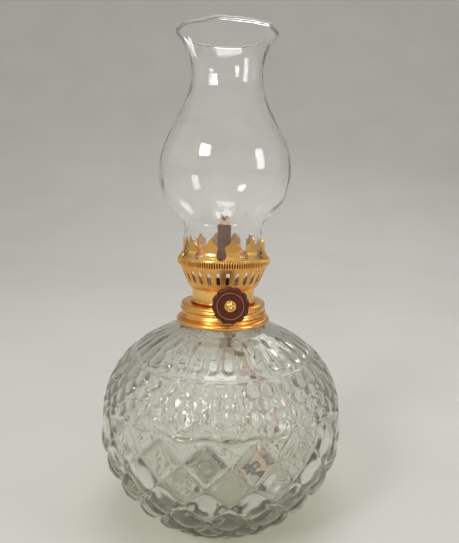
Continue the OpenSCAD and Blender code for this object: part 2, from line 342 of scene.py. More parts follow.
def plastic(name, base, speck, roughness, gloss=0.5):
    """Moulded plastic or rubber: faint mottling, fine grain, slight uneven gloss."""
    mat, nt, out = new_material(name)
    p = node(nt, "ShaderNodeBsdfPrincipled", Roughness=roughness)
    p.inputs["Specular IOR Level"].default_value = gloss
    v = object_coords(nt)
    mottle = ramp(nt, noise(nt, v, 420, 4, 0.6), [(0.35, base), (0.75, speck)])
    nt.links.new(mottle, p.inputs["Base Color"])
    wear = map_range(nt, noise(nt, v, 240, 3, 0.5), roughness * 0.7, roughness * 1.4)
    nt.links.new(wear, p.inputs["Roughness"])
    nt.links.new(bump(nt, noise(nt, v, 1800, 2, 0.5), 0.12, 0.0001), p.inputs["Normal"])
    nt.links.new(p.outputs["BSDF"], out.inputs["Surface"])
    return mat


BRASS = metal("gilt_brass_mat", (0.86, 0.42, 0.11), (0.95, 0.54, 0.16), (0.64, 0.24, 0.05))
# A lighter copy of the gilt brass with a little more polish: the lighter colour is painted light.
BRASS_POLISHED_LIT = metal("gilt_brass_polished_painted_light", (0.92, 0.48, 0.13), (0.98, 0.62, 0.20), (0.74, 0.31, 0.07), (0.12, 0.26))
SATIN = metal("gilt_brass_satin", (0.86, 0.43, 0.12), (0.95, 0.55, 0.17), (0.66, 0.26, 0.06), (0.34, 0.5))
# Dark brass for the knurl's grooves: tarnish, and painted shade in the grooves.
TARNISH_AND_SHADE = metal("gilt_brass_tarnish_and_shade", (0.24, 0.085, 0.015), (0.34, 0.13, 0.03), (0.14, 0.05, 0.01),
                (0.35, 0.5))
# Pale matt inside of the burner: partly its pale plating, partly painted light that lifts it out of its
# shade.
INNER_PLATING_AND_LIGHT = metal("inner_plating_and_painted_light_mat", (0.84, 0.83, 0.79), (0.93, 0.92, 0.89), (0.74, 0.69, 0.6),
              (0.4, 0.6), scratch=0.1, metallic=0.0)
BRONZE = metal("tube_bronze_mat", (0.22, 0.072, 0.013), (0.32, 0.112, 0.022), (0.10, 0.035, 0.01),
               (0.06, 0.14), scratch=0.02)
STEEL = metal("plain_steel_mat", (0.5, 0.49, 0.47), (0.62, 0.6, 0.57), (0.32, 0.24, 0.18), (0.28, 0.45))
KNOB_MAT = plastic("knob_plastic_mat", (0.075, 0.013, 0.003), (0.11, 0.022, 0.005), 0.24, 0.3)
# The knob's plastic in a lighter colour for its raised ring: a painted highlight.
KNOB_RING_LIT = plastic("knob_ring_painted_highlight_mat", (0.30, 0.12, 0.06), (0.38, 0.17, 0.09), 0.16)
RUBBER = plastic("gasket_rubber_mat", (0.02, 0.02, 0.02), (0.045, 0.045, 0.045), 0.6)
COTTON = cotton("wick_cotton_mat")
CHAR = plastic("wick_char_mat", (0.008, 0.006, 0.005), (0.02, 0.014, 0.011), 0.8, 0.2)
FONT_GLASS = clear_glass("pressed_glass_mat", (0.68, 0.70, 0.59), density=66.0, ripple=0.00012,
                         ripple_scale=130, film=0.09, haze=0.085)
CHIMNEY_GLASS = clear_glass("chimney_glass_mat", (0.92, 0.93, 0.91), density=40.0, ripple=0.00022,
                            ripple_scale=150, film=0.04, haze=0.03)


def dress(ob, mat, body, slot, *nodes, inside=None):
    """Gives a piece its material and body, and hides the CAD nodes it replaces. slot is not used."""
    ob.data.materials.clear()
    ob.data.materials.append(mat)
    if inside:
        ob.data.materials.append(inside)
    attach(ob, body)
    if nodes:
        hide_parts(*nodes)
    return ob


# ---------------------------------------------------------------- wick and its free tail

WICK_R, TUBE_END, WICK_TIP = 2.4, 80.0, 127.4  # the tail leaves the tube at TUBE_END
BRAID_STEP = 0.45
TAIL = [(0, 0, 80), (0, 0, 78.6), (0.7, 0, 76), (2.2, 0, 73), (4.8, 0, 69.5), (8, 0.2, 66.3),
        (11.4, 0.5, 62.8), (14.6, 1, 58.8), (17.4, 1.5, 54.4), (19.6, 1.8, 49.8), (21.2, 2, 45),
        (22.2, 2, 40), (22.4, 2, 35), (21.8, 1.8, 30), (20.2, 1.5, 25.2), (17.6, 1, 20.8),
        (14.4, 0.4, 16.9), (10.8, -0.2, 13.6), (6.8, -0.8, 10.9), (2.6, -1.3, 9), (-1.8, -1.6, 8),
        (-6.2, -1.6, 7.7), (-10.6, -1.2, 7.7), (-14.8, -0.4, 7.8)]


def tangent_frames(path):
    """Unit tangents of a path, and two unit vectors across it at each point."""
    t = np.gradient(path, axis=0)
    t /= np.linalg.norm(t, axis=1)[:, None]
    u = np.cross([0, 1, 0], t)
    u /= np.linalg.norm(u, axis=1)[:, None]
    return t, u, np.cross(t, u)


def smooth_path(points, step):
    """Catmull-Rom through the points, then resampled to an even step."""
    p = np.array(points, float)
    ext = np.vstack([2 * p[0] - p[1], p, 2 * p[-1] - p[-2]])
    fine = []
    for i in range(1, len(ext) - 2):
        for t in np.linspace(0, 1, 12, endpoint=False):
            a, b, c, d = ext[i - 1:i + 3]
            fine.append(0.5 * (2 * b + (c - a) * t + (2 * a - 5 * b + 4 * c - d) * t ** 2
                               + (3 * b - a - 3 * c + d) * t ** 3))
    fine.append(ext[-2])
    fine = np.array(fine)
    s = np.concatenate([[0], np.cumsum(np.linalg.norm(np.diff(fine, axis=0), axis=1))])
    n = max(2, int(round(s[-1] / step)))
    grid = np.linspace(0, s[-1], n + 1)
    return np.stack([np.interp(grid, s, fine[:, k]) for k in range(3)], 1)


def braided_tube(name, path, radius, sides=40, strands=8, pitch=6.0, depth=0.16, end_round=0.5):
    """A round braid: two families of strands winding opposite ways, over and under each other."""
    _, u, w = tangent_frames(path)
    s = np.concatenate([[0], np.cumsum(np.linalg.norm(np.diff(path, axis=0), axis=1))])
    verts, n = [], len(path)
    for i in range(n):
        end = min(s[i], s[-1] - s[i])
        shrink = math.sqrt(max(0.0, 1 - max(0.0, 1 - end / end_round) ** 2)) * 0.25 + 0.75
        for j in range(sides):
            a = FULL_TURN * j / sides
            left = math.cos(strands / 2 * (a + FULL_TURN * s[i] / pitch))
            right = math.cos(strands / 2 * (a - FULL_TURN * s[i] / pitch))
            weave = max(abs(left), abs(right)) - 0.7
            r = (radius - 0.04 + depth * (weave - 0.25)) * shrink
            verts.append(path[i] + r * (math.cos(a) * u[i] + math.sin(a) * w[i]))
    faces = []
    for i in range(n - 1):
        here, there = i * sides, (i + 1) * sides
        faces += [(here + j, there + j, there + (j + 1) % sides, here + (j + 1) % sides)
                  for j in range(sides)]
    faces += [tuple(range(sides)), tuple((n - 1) * sides + j for j in reversed(range(sides)))]
    ob = add_mesh(name, verts, faces, 60)
    face_outward(ob)
    return ob


tail_path = smooth_path(TAIL, BRAID_STEP)
tail = braided_tube("wick_tail_braid", tail_path, WICK_R)
tail.data.materials.append(COTTON)
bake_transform(tail)
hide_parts("wick_tail")

wick_path = np.array([(0, 0, z) for z in np.arange(TUBE_END, WICK_TIP + 0.01, BRAID_STEP)])


def make_wick():
    ob = braided_tube("wick_braid", wick_path, WICK_R, end_round=0.9)
    me = ob.data
    for v in me.vertices:  # the feed wheel's teeth have pressed the cotton flat on the +X side
        if 0.084 < v.co.z < 0.108 and v.co.x > 0.0018:
            v.co.x = 0.0018
    dress(ob, COTTON, "wick", "wick_cotton", "wick")


THREAD_R, THREAD_STEPS, THREAD_LOW = 0.24, 5, 5.4  # frayed threads stay above the font's floor


def frayed(name, roots, reach, seed):
    """Short curled threads, each from a (point, outward direction) root."""
    rng = np.random.default_rng(seed)
    verts, faces = [], []
    for root, out in roots:
        d = out + rng.normal(0, 0.35, 3)
        bend = rng.normal(0, 0.45, 3)
        length = reach * rng.uniform(0.4, 1.0)
        u = np.cross(d, (0.3, 0.5, 0.8))
        u /= np.linalg.norm(u)
        w = np.cross(d, u) / np.linalg.norm(d)
        base = len(verts)
        for k in range(THREAD_STEPS + 1):
            t = k / THREAD_STEPS
            c = root + length * (d * t + bend * t * t)
            c[2] = max(c[2], THREAD_LOW)
            r = THREAD_R * (1 - 0.7 * t)
            verts += [c + r * (math.cos(a) * u + math.sin(a) * w) for a in np.radians([0, 90, 180, 270])]
        for k in range(THREAD_STEPS):
            faces += ring_faces(base + 4 * k, base + 4 * (k + 1), 4)
        last = base + 4 * THREAD_STEPS
        faces += [(base + 3, base + 2, base + 1, base), (last, last + 1, last + 2, last + 3)]
    return add_mesh(name, verts, faces, 60)


def make_char():
    """Burnt ends of cotton: along the stretch that lies on the font's floor, and on the tip."""
    rng = np.random.default_rng(3)
    _, u, w = tangent_frames(tail_path)
    low = [i for i in range(len(tail_path) - 1) if tail_path[i][2] < 13]
    roots = []
    for _ in range(80):
        i, a = rng.choice(low), rng.uniform(0, FULL_TURN)
        out = math.cos(a) * u[i] + math.sin(a) * w[i]
        roots.append((tail_path[i] + 2.1 * out, out))
    dress(frayed("tail_char", roots, 3.4, 5), CHAR, "burner", "wick_cotton")
    roots = []
    for _ in range(14):
        a, r = rng.uniform(0, FULL_TURN), 1.9 * math.sqrt(rng.uniform(0, 1))
        out = np.array([math.cos(a), math.sin(a), 0.0])
        roots.append((r * out + (0, 0, 127.1), 0.3 * out + (0, 0, 1.0)))
    dress(frayed("tip_char", roots, 0.8, 9), CHAR, "wick", "wick_cotton")


make_wick()
make_char()


# ---------------------------------------------------------------- pressed-glass font

FONT_R, BELLY_Z, FOOT_R, SHOULDER = 50.3, 42.0, 24.0, (20.0, 82.0)
NECK_R, BORE_R, LIP_Z = 15.0, 11.5, 90.9
RIDGE_H, PITCH, THREAD_Z, THREAD_TURNS = 1.2, 3.0, 84.4, 1.65
DIAMONDS, PHASE = 18, math.radians(-92.55)   # a column of diamonds has its points at this angle
PER_HALF = 10                                # mesh columns and rows per half diamond
COLUMNS = DIAMONDS * 2 * PER_HALF
ROW_STEP = 0.1855                            # height of half a diamond as a share of the radius
LINE_S, BORDER_S, PETAL_S = 63.6, 83.8, 87.3  # lengths up the outline: moulded line, border, petals' ends
GROUND = -0.95                               # the oval band's surface between the ovals
OVAL_HALF = (2.75, 3.5)                      # half width and half height of an oval
OVAL_ROWS = ((66.9, 0.5, 0.8), (70.9, 0.0, 1.0), (75.5, 0.5, 1.0), (80.2, 0.0, 0.95))  # place, stagger, size


def font_outline():
    """The outline from the foot's edge to the neck, as (r, z) at even steps, with its length."""
    p = np.vstack([cubic((FOOT_R, 0), (FOOT_R + 11, 6.5), (FONT_R, 24), (FONT_R, BELLY_Z), 200),
                   cubic((FONT_R, BELLY_Z), (FONT_R, 60), (42.5, 74.5), SHOULDER, 200, False),
                   cubic(SHOULDER, (17.5, 82.4), (NECK_R, 82.4), (NECK_R, 83.8), 40, False)])
    s = np.concatenate([[0], np.cumsum(np.linalg.norm(np.diff(p, axis=0), axis=1))])
    return p, s


def diamonds(theta, w, r):
    """Relief of the diamond zone. w counts half diamonds down from the moulded line."""
    u = (theta - PHASE) / (FULL_TURN / DIAMONDS)
    near = [np.abs(line - np.round(line)) for line in (u + w / 2, u - w / 2)]
    inner = [0.42 * ramp01(f, 0.03, 0.15) + 0.58 * np.sqrt(np.clip((f - 0.03) / 0.47, 0, 1)) for f in near]
    pillow = np.minimum(inner[0], inner[1]) * 0.45 + inner[0] * inner[1] * 0.55
    size = (r / FONT_R) ** 0.8
    return size * (-1.25 + (1.6 + 1.5 * ramp01(w, 1.0, 3.0)) * pillow)


def ovals(theta, s, r):
    """Relief of the band of staggered ovals."""
    relief = np.full_like(theta, GROUND)
    step = FULL_TURN / (2 * DIAMONDS)
    for row_s, stagger, size in OVAL_ROWS:
        f = (theta - PHASE) / step - stagger
        x = (f - np.round(f)) * step * r
        y = s - row_s
        d = np.sqrt((x / (OVAL_HALF[0] * size)) ** 2 + (y / (OVAL_HALF[1] * size)) ** 2)
        dome = 0.9 * ramp01(-d, -1.0, -0.78) + 0.15 * np.clip(1 - d, 0, 1)
        relief = np.maximum(relief, GROUND + dome)
    return relief


def petals(theta, s, r):
    """Flat-topped petals with round lower ends. Higher up, every second groove between them runs out."""
    step = FULL_TURN / (2 * DIAMONDS)
    f = (theta - PHASE) / step
    x = (f - np.round(f)) * step * r
    half = 0.5 * step * r
    end = PETAL_S + 0.9 * half - np.sqrt(np.clip((0.9 * half) ** 2 - x ** 2, 0, None))
    groove = np.floor(f + 1) % 2  # 1 beside a long groove, 0 beside a short one
    depth = np.where(groove > 0.5, 1.0, 1 - ramp01(s, PETAL_S + 5, PETAL_S + 9))
    crown = 1 - depth * (1 - ramp01(half - np.abs(x), 0.25, 0.95))
    return -0.8 + (0.5 * crown + 0.12 * (1 - (x / half) ** 2)) * ramp01(s, end - 0.3, end + 0.5)


def line_at(s, centre, width, height):
    """A soft raised line round the font."""
    return height * np.exp(-((s - centre) / width) ** 2)


def font_relief(theta, s, w, r):
    """Height of the pressed pattern above the smooth form, fading out at the foot and the neck."""
    low = diamonds(theta, w, r)
    band = ovals(theta, s, r)
    high = petals(theta, s, r)
    relief = np.where(s < LINE_S, low, np.where(s < BORDER_S, band, high))
    relief += line_at(s, LINE_S, 0.55, 0.75) + line_at(s, BORDER_S, 0.45, 0.5)
    fade = ramp01(s, 2.0, 15.0) * (1 - ramp01(s, 99.5, 102.5))
    return relief * fade


def thread_height(theta, z):
    """Height of the neck's screw thread at an angle and height."""
    best = 0.0
    for turn in range(3):
        a = (theta % FULL_TURN) + FULL_TURN * turn
        if a <= THREAD_TURNS * FULL_TURN:
            off = abs(z - (THREAD_Z + PITCH * a / FULL_TURN))
            ends = min(1.0, a / 0.9, (THREAD_TURNS * FULL_TURN - a) / 0.9)
            best = max(best, RIDGE_H * max(0.0, ends) * min(1.0, max(0.0, (0.62 - off) / 0.36)))
    return best


def make_font():
    """One closed mesh: pressed relief outside, threaded neck, smooth inside, hollow foot."""
    p, s_of = font_outline()
    nrm = normals_2d(p)

    def radius_at(s):
        return np.interp(s, s_of, p[:, 0])

    def height_at(s):
        return np.interp(s, s_of, p[:, 1])

    # rows in the diamond zone follow the lattice, so that the grooves run along the mesh's diagonals
    fine = np.linspace(0, LINE_S, 4000)
    between = (fine[1:] + fine[:-1]) / 2
    w_fine = np.concatenate([[0], np.cumsum(np.diff(fine) / (ROW_STEP * radius_at(between)))])
    w_fine = w_fine[-1] - w_fine  # 0 at the line, growing downwards
    w_rows = np.arange(0, w_fine[0], 1 / PER_HALF)
    s_low = np.interp(w_rows, w_fine[::-1], fine[::-1])[::-1]
    s_low = s_low[s_low > 0.15]
    s_high = np.arange(LINE_S, s_of[-1], 0.52)[1:]
    rows_s = np.concatenate([[0.0], s_low, s_high, [s_of[-1]]])
    theta = np.linspace(0, FULL_TURN, COLUMNS, endpoint=False) + PHASE
    verts, faces, starts = [], [], []

    def put_ring(points):
        starts.append(len(verts))
        verts.extend(points)

    for s in rows_s:
        r, z = float(radius_at(s)), float(height_at(s))
        n = np.array([np.interp(s, s_of, nrm[:, 0]), np.interp(s, s_of, nrm[:, 1])])
        w = float(np.interp(s, fine, w_fine)) if s < LINE_S else 0.0
        h = font_relief(theta, np.full_like(theta, s), w, r)
        put_ring([((r + hi * n[0]) * math.cos(a), (r + hi * n[0]) * math.sin(a), max(0.0, z + hi * n[1]))
                  for hi, a in zip(h, theta)])
    for z in np.arange(84.05, LIP_Z - 0.7, 0.3):
        radii = [NECK_R + thread_height(a, z) for a in theta]
        put_ring([(r * math.cos(a), r * math.sin(a), z) for r, a in zip(radii, theta)])
    for r, z in arc((NECK_R - 0.7, LIP_Z - 0.7), 0.7, 0, 90, 4):
        put_ring([(r * math.cos(a), r * math.sin(a), z) for a in theta])
    for lower, upper in zip(starts, starts[1:]):
        faces += ring_faces(lower, upper, COLUMNS)
    last_fine = starts[-1]
    # inside, with a quarter of the columns
    coarse = COLUMNS // 4
    angles = theta[::4]
    inner = np.vstack([arc((BORE_R + 0.6, LIP_Z - 0.6), 0.6, 90, 180, 4),
                       cubic((BORE_R, 81.5), (BORE_R, 79.2), (13, 78.8), (16, 78), 8),
                       cubic((16, 78), (38.5, 71.5), (47, 58.5), (47, BELLY_Z), 40, False),
                       cubic((47, BELLY_Z), (47, 25.5), (32, 11), (17, 5), 36, False),
                       [(12, 4.75), (6, 4.7)]])
    inner_starts = []
    for r, z in inner:
        inner_starts.append(len(verts))
        verts.extend([(r * math.cos(a), r * math.sin(a), z) for a in angles])
    first = inner_starts[0]
    for k in range(coarse):  # four columns outside meet one inside
        a0, a1 = first + k, first + (k + 1) % coarse
        o = [last_fine + (4 * k + i) % COLUMNS for i in range(5)]
        faces += [(o[0], o[1], a0), (o[1], o[2], a0), (o[2], a1, a0), (o[2], o[3], a1), (o[3], o[4], a1)]
    for upper, lower in zip(inner_starts, inner_starts[1:]):
        faces += ring_faces(upper, lower, coarse)
    faces.append(tuple(inner_starts[-1] + k for k in range(coarse)))
    # under the foot: a shallow hollow inside a standing ring
    base = [starts[0]]
    for r, z in ((22.6, 0.0), (21.2, 0.5), (18, 0.8), (9, 0.9)):
        base.append(len(verts))
        verts.extend([(r * math.cos(a), r * math.sin(a), z) for a in theta])
    for outside, inside in zip(base, base[1:]):
        faces += ring_faces(inside, outside, COLUMNS)
    faces.append(tuple(base[-1] + k for k in reversed(range(COLUMNS))))
    ob = add_mesh("font_glass", verts, faces, 180)
    face_outward(ob)
    dress(ob, FONT_GLASS, "font", "pressed_glass", "font")


make_font()


# ---------------------------------------------------------------- chimney

FITTER_R, BULGE_R, THROAT_R = 16.15, 26.5, 14.3
CHIMNEY_LOW, BULGE_Z, THROAT_Z, CHIMNEY_HIGH = 108.3, 145, 182, 197.05


def make_chimney():
    """Blown glass: straight fitter, round bulge, narrow throat and a flared, slightly uneven rim."""
    seat, waist = (FITTER_R, CHIMNEY_LOW), (16.6, 124.6)
    bulge, throat = (BULGE_R, BULGE_Z), (THROAT_R, THROAT_Z)
    outer = np.vstack([cubic(seat, (FITTER_R, 112), (FITTER_R, 117), (16.25, 120), 8),
                       cubic((16.25, 120), (16.55, 121.5), (15.8, 122.5), waist, 10, False),
                       cubic(waist, (18, 128), (BULGE_R, 132), bulge, 30, False),
                       cubic(bulge, (BULGE_R, 160), (THROAT_R, 168), throat, 36, False),
                       cubic(throat, (THROAT_R, 190), (16.8, 193.6), (19.6, CHIMNEY_HIGH), 18, False)])
    n = normals_2d(outer)
    t = np.interp(outer[:, 1], [108, 124, 145, 185, 197.1], [1.5, 1.25, 0.95, 1.1, 1.3])
    inner = outer - n * t[:, None]
    lip_c = (outer[-1] + inner[-1]) / 2
    out_angle = math.degrees(math.atan2(*(outer[-1] - lip_c)[::-1]))
    lip = arc(lip_c, 0.72, out_angle, out_angle + 180, 8)
    foot_c = (outer[0] + inner[0]) / 2
    foot = arc(foot_c, 0.5 * t[0], 225, 315, 2)
    foot[:, 1] = np.maximum(foot[:, 1], CHIMNEY_LOW)
    outline = np.vstack([outer, lip, inner[::-1], foot])

    def rim(r, z, a):
        wave = 0.5 * math.sin(7 * a + 0.5) + 0.3 * math.sin(11 * a + 1.9) + 0.2 * math.sin(17 * a)
        return r + 0.3 * wave * ramp01(z, 191, 197), z + 0.3 * wave * ramp01(z, 194, 197)

    ob = lathe("chimney_glass", outline, 180, moved=rim, smooth_deg=180)
    dress(ob, CHIMNEY_GLASS, "chimney", "chimney_glass", "chimney")


make_chimney()


# ---------------------------------------------------------------- burner sheet metal

def perforated(name, profile, rows, sectors, phase, half_gap, sheet=0.5, across=5):
    """A ring of sheet metal with a gap in each sector.

    profile(z) gives the outer radius. half_gap(z) gives half the gap's width, which is 0 where
    there is no gap and half a sector where the metal ends.
    """
    verts, faces = [], []
    pitch = FULL_TURN / sectors
    for k in range(sectors):
        mid = phase + k * pitch
        for side in (-1, 1):
            base = len(verts)
            for z in rows:
                r = profile(z)
                edge, gap = pitch / 2, min(half_gap(z) / r, pitch / 2)
                for j in range(across + 1):
                    a = mid + side * (edge + (gap - edge) * j / across)
                    verts.append((r * math.cos(a), r * math.sin(a), z))
            w = across + 1
            for i in range(len(rows) - 1):
                for j in range(across):
                    here, above = base + i * w + j, base + (i + 1) * w + j
                    q = (here, here + 1, above + 1, above)
                    faces.append(q if side > 0 else q[::-1])
    me = bpy.data.meshes.new(name)
    me.from_pydata([tuple(c * MM for c in v) for v in verts], [], faces)
    ob = bpy.data.objects.new(name, me)
    bpy.context.collection.objects.link(ob)
    bm = bmesh.new()
    bm.from_mesh(me)
    bmesh.ops.remove_doubles(bm, verts=bm.verts, dist=0.02 * MM)
    bmesh.ops.dissolve_degenerate(bm, edges=bm.edges, dist=0.01 * MM)
    bmesh.ops.recalc_face_normals(bm, faces=bm.faces)
    out = sum(f.normal.x * f.calc_center_median().x + f.normal.y * f.calc_center_median().y for f in bm.faces)
    if out < 0:
        bmesh.ops.reverse_faces(bm, faces=bm.faces)
    bm.to_mesh(me)
    bm.free()
    me.polygons.foreach_set("use_smooth", [True] * len(me.polygons))
    solid = ob.modifiers.new("sheet", "SOLIDIFY")
    solid.thickness, solid.offset, solid.material_offset = sheet * MM, -1, 1
    edge = ob.modifiers.new("edge", "BEVEL")
    edge.width, edge.segments, edge.limit_method, edge.angle_limit = 0.12 * MM, 2, "ANGLE", math.radians(50)
    edge.harden_normals = True
    return ob


def profile_of(points):
    p = np.array(points)
    return lambda z: float(np.interp(z, p[:, 1], p[:, 0]))


PRONGS, PRONG_R, CROWN_LOW, CROWN_TOP = 12, 16.8, 110.9, 119.0
CROWN = np.vstack([cubic((18.7, CROWN_LOW), (18.2, 112.1), (PRONG_R, 112.7), (PRONG_R, 114.5), 24),
                   [(PRONG_R, CROWN_TOP)]])
GAP_LOW, GAP_C, GAP_R, GAP_TOP = 111.3, 113.25, 1.95, 113.5  # the round bottom of the gap between prongs
GAP_EDGE = np.vstack([cubic((1.9, GAP_TOP), (1.7, 114.9), (1.35, 115.1), (1.35, 116.1), 8),
                      cubic((1.35, 116.1), (1.35, 117.4), (3.3, 117.0), (3.25, 118.0), 12, False)])
PRONG_HALF, FINIAL_R = math.pi / PRONGS * PRONG_R, 1.15
FINIAL_Z = CROWN_TOP - FINIAL_R


def crown_gap(z):
    """Half the width of the gap between two prongs: round below, waisted, closing over the finials."""
    if z <= GAP_LOW:
        return 0.0
    if z < GAP_TOP:
        return math.sqrt(max(0.0, GAP_R ** 2 - (z - GAP_C) ** 2))
    if z < FINIAL_Z:
        return float(np.interp(z, GAP_EDGE[:, 1], GAP_EDGE[:, 0]))
    return PRONG_HALF - math.sqrt(max(0.0, FINIAL_R ** 2 - (z - FINIAL_Z) ** 2))


def make_crown():
    low_arc = [GAP_C - GAP_R * math.cos(a) for a in np.radians([0, 12, 24, 36, 48, 60, 72, 84])]
    tip = [FINIAL_Z + FINIAL_R * math.sin(a) for a in np.radians([0, 15, 30, 45, 58, 70, 80, 90])]
    rows = [CROWN_LOW, 111.1] + low_arc + list(np.arange(GAP_TOP, 117.8, 0.3)) + tip
    ob = perforated("crown_prongs", profile_of(CROWN), rows, PRONGS, math.radians(-90), crown_gap)
    # Painted light: the prongs' outside is the lighter copy of the brass on their inside.
    dress(ob, BRASS_POLISHED_LIT, "burner", "gilt_brass", "crown", inside=BRASS)


BASKET_LOW, BASKET_HIGH = 98.5, 107.9
BASKET = np.vstack([cubic((13.5, BASKET_LOW), (14.2, 98.7), (14.6, 99.6), (15.2, 101), 10),
                    cubic((15.2, 101), (16, 103), (17, 105), (17.9, BASKET_HIGH), 14, False)])
SLOTS, SLOT_LOW, SLOT_HIGH, SLOT_R = 28, 101.2, 106.4, 0.75


def slot_gap(z):
    """Half the width of an upright slot with round ends."""
    if z <= SLOT_LOW or z >= SLOT_HIGH:
        return 0.0
    d = min(z - SLOT_LOW, SLOT_HIGH - z)
    return math.sqrt(SLOT_R ** 2 - (SLOT_R - d) ** 2) if d < SLOT_R else SLOT_R


def make_basket():
    ends = [SLOT_R * (1 - math.cos(a)) for a in np.radians([0, 18, 36, 54, 72, 90])]
    rows = ([BASKET_LOW, 98.6, 98.8, 99.2, 99.7, 100.3, 100.8] + [SLOT_LOW + e for e in ends]
            + list(np.arange(102.4, 105.6, 0.5)) + [SLOT_HIGH - e for e in reversed(ends)]
            + [106.9, 107.4, BASKET_HIGH])
    ob = perforated("air_basket_slots", profile_of(BASKET), rows, SLOTS, math.radians(-94), slot_gap,
                    across=3)
    # The inner faces take the pale inside, with its painted light.
    dress(ob, SATIN, "burner", "gilt_brass", "air_basket", inside=INNER_PLATING_AND_LIGHT)
    seat = round_outline([(12.45, 98.2), (13.5, 98.2), (13.62, 98.7), (12.45, 98.7)], 0.15)
    foot = lathe("basket_foot", seat, 120)
    dress(foot, BRASS, "burner", "gilt_brass", inside=INNER_PLATING_AND_LIGHT)
    plate_and_light_inside(foot)


RIDGES, RIDGE_COLUMNS, KNURL_DEPTH = 120, 8, 0.5
KNURL_ROWS = range(4, 7)                     # the outline's steps up the ridged wall


def make_gallery():
    """Knurled ring: fine upright ridges between two plain lips, and the chimney's seat inside."""
    outer = [(17.6, 107.9), (18.5, 107.9), (18.7, 108.0), (18.7, 108.15), (18.9, 108.3),
             (18.9, 109.0), (18.9, 109.8), (18.9, 110.5), (18.7, 110.65), (18.75, 110.8), (18.62, 110.9)]
    outline = outer + [(18.0, 110.9), (18.0, 108.34), (14.85, 108.3), (14.85, 107.9)]

    def knurl(r, z, a):
        ridge = 0.5 + 0.5 * math.cos(RIDGES * a)
        on = (r > 18.8) & (z > 108.2) & (z < 110.55)
        return np.where(on, r - KNURL_DEPTH * (1 - ridge) ** 1.3, r), z

    ob = lathe("gallery_knurl", outline, RIDGES * RIDGE_COLUMNS, moved=knurl, smooth_deg=55)
    dress(ob, BRASS, "burner", "gilt_brass", "gallery_ring", inside=TARNISH_AND_SHADE)
    for face in ob.data.polygons:  # tarnish and painted shade lie in the knurl's grooves
        column, row = divmod(face.index, len(outline))
        if row in KNURL_ROWS and math.cos(FULL_TURN * (column + 0.5) / RIDGE_COLUMNS) < -0.1:
            face.material_index = 1


BARREL_R = 17.45


def make_cap():
    """Screw cap: a barrel with rolled helical ribs, a soft top edge and a curled foot."""
    barrel = [(BARREL_R, z) for z in np.arange(86.2, 91.0, 0.2)]
    outline = ([(16.72, 91.7), (16.72, 83.75), (18.0, 83.7)] + arc((18.2, 84.9), 1.2, -90, 90, 12).tolist()
               + [(17.6, 86.12)] + barrel + arc((16.5, 91.2), 1.0, 10, 90, 6).tolist()
               + [(12.5, 92.2), (12.42, 92.1), (12.42, 91.75)])

    def ribs(r, z, a):
        on = (np.abs(r - BARREL_R) < 0.01) & (z > 86.15)
        wave = 0.5 + 0.5 * np.cos(FULL_TURN * (z - 88.2) / PITCH - a)
        fade = ramp01(z, 86.2, 87.0) * (1 - ramp01(z, 90.2, 90.9))
        return np.where(on, r - 0.25 + 0.62 * wave ** 1.3 * fade + 0.25 * (1 - fade), r), z

    ob = lathe("cap_barrel", outline, 240, moved=ribs, smooth_deg=60)
    dress(ob, BRASS, "burner", "gilt_brass", "screw_cap")


def plate_and_light_inside(ob):
    """Gives the faces that look at the lamp's axis the second material, which here is the pale inside with
    painted light.
    """
    for face in ob.data.polygons:
        c, n = face.center, face.normal
        if n.x * c.x + n.y * c.y < -0.5 * math.hypot(c.x, c.y):
            face.material_index = 1


def make_drum():
    """The narrow wall between the cap and the basket, with a rolled bead at its foot."""
    outline = ([(12.0, 91.35), (13.05, 91.35), (13.05, 91.65), (12.42, 91.72), (12.42, 92.2), (13.0, 92.2)]
               + arc((12.75, 92.95), 0.7, -60, 75, 8).tolist()
               + [(12.9, 93.75), (12.86, 94.4), (12.88, 96.2), (12.95, 97.3), (13.12, 98.1), (13.12, 98.2),
                  (12.45, 98.2), (12.42, 92.65), (12.05, 92.55)])
    ob = lathe("drum_wall", outline, 160, smooth_deg=50)
    # Painted light: the lighter copy of the brass outside, and the pale inside with painted light.
    dress(ob, BRASS_POLISHED_LIT, "burner", "gilt_brass", "burner_drum", inside=INNER_PLATING_AND_LIGHT)
    plate_and_light_inside(ob)


make_crown()
make_basket()
make_gallery()
make_cap()
make_drum()


# ---------------------------------------------------------------- knob

SHAFT_X, SHAFT_Z, KNOB_Y = 4.2, 95.7, -25.8
SCALLOPS = 12


def make_knob():
    """Scalloped disc with a thin raised ring on its face and a shallow hollow inside it."""
    y = KNOB_Y
    outline = [(0.85, y + 0.35), (1.6, y + 0.32), (3.6, y + 0.28), (4.45, y + 0.22), (4.75, y + 0.1),
               (5.2, y + 0.12), (5.6, y + 0.12), (6.3, y + 0.14), (6.75, y + 0.28), (7.05, y + 0.7),
               (7.12, y + 1.4), (7.12, y + 2.2), (7.0, y + 2.9), (6.7, y + 3.3), (6.3, y + 3.4),
               (4.2, y + 3.4), (2.9, y + 3.5), (2.6, y + 3.9), (2.6, y + 5.4), (2.45, y + 5.75),
               (0.85, y + 5.8)]

    def scallop(r, z, a):
        lobe = np.abs(math.cos(SCALLOPS / 2 * (a + math.radians(8)))) ** 0.75
        amount = ramp01(r, 5.3, 6.9)
        return r - 0.62 * (1 - lobe) * amount, z

    raised = round_outline([(4.86, y - 0.3), (5.1, y - 0.3), (5.14, y + 0.2), (4.82, y + 0.2)], 0.1)
    ring = lathe("knob_ring", raised, 160, (SHAFT_X, SHAFT_Z), None, "y")
    # The raised ring's lighter colour is a painted highlight.
    dress(ring, KNOB_RING_LIT, "knob", "knob_plastic")
    ob = lathe("knob_disc", outline, 288, (SHAFT_X, SHAFT_Z), scallop, "y", 50)
    dress(ob, KNOB_MAT, "knob", "knob_plastic", "knob")


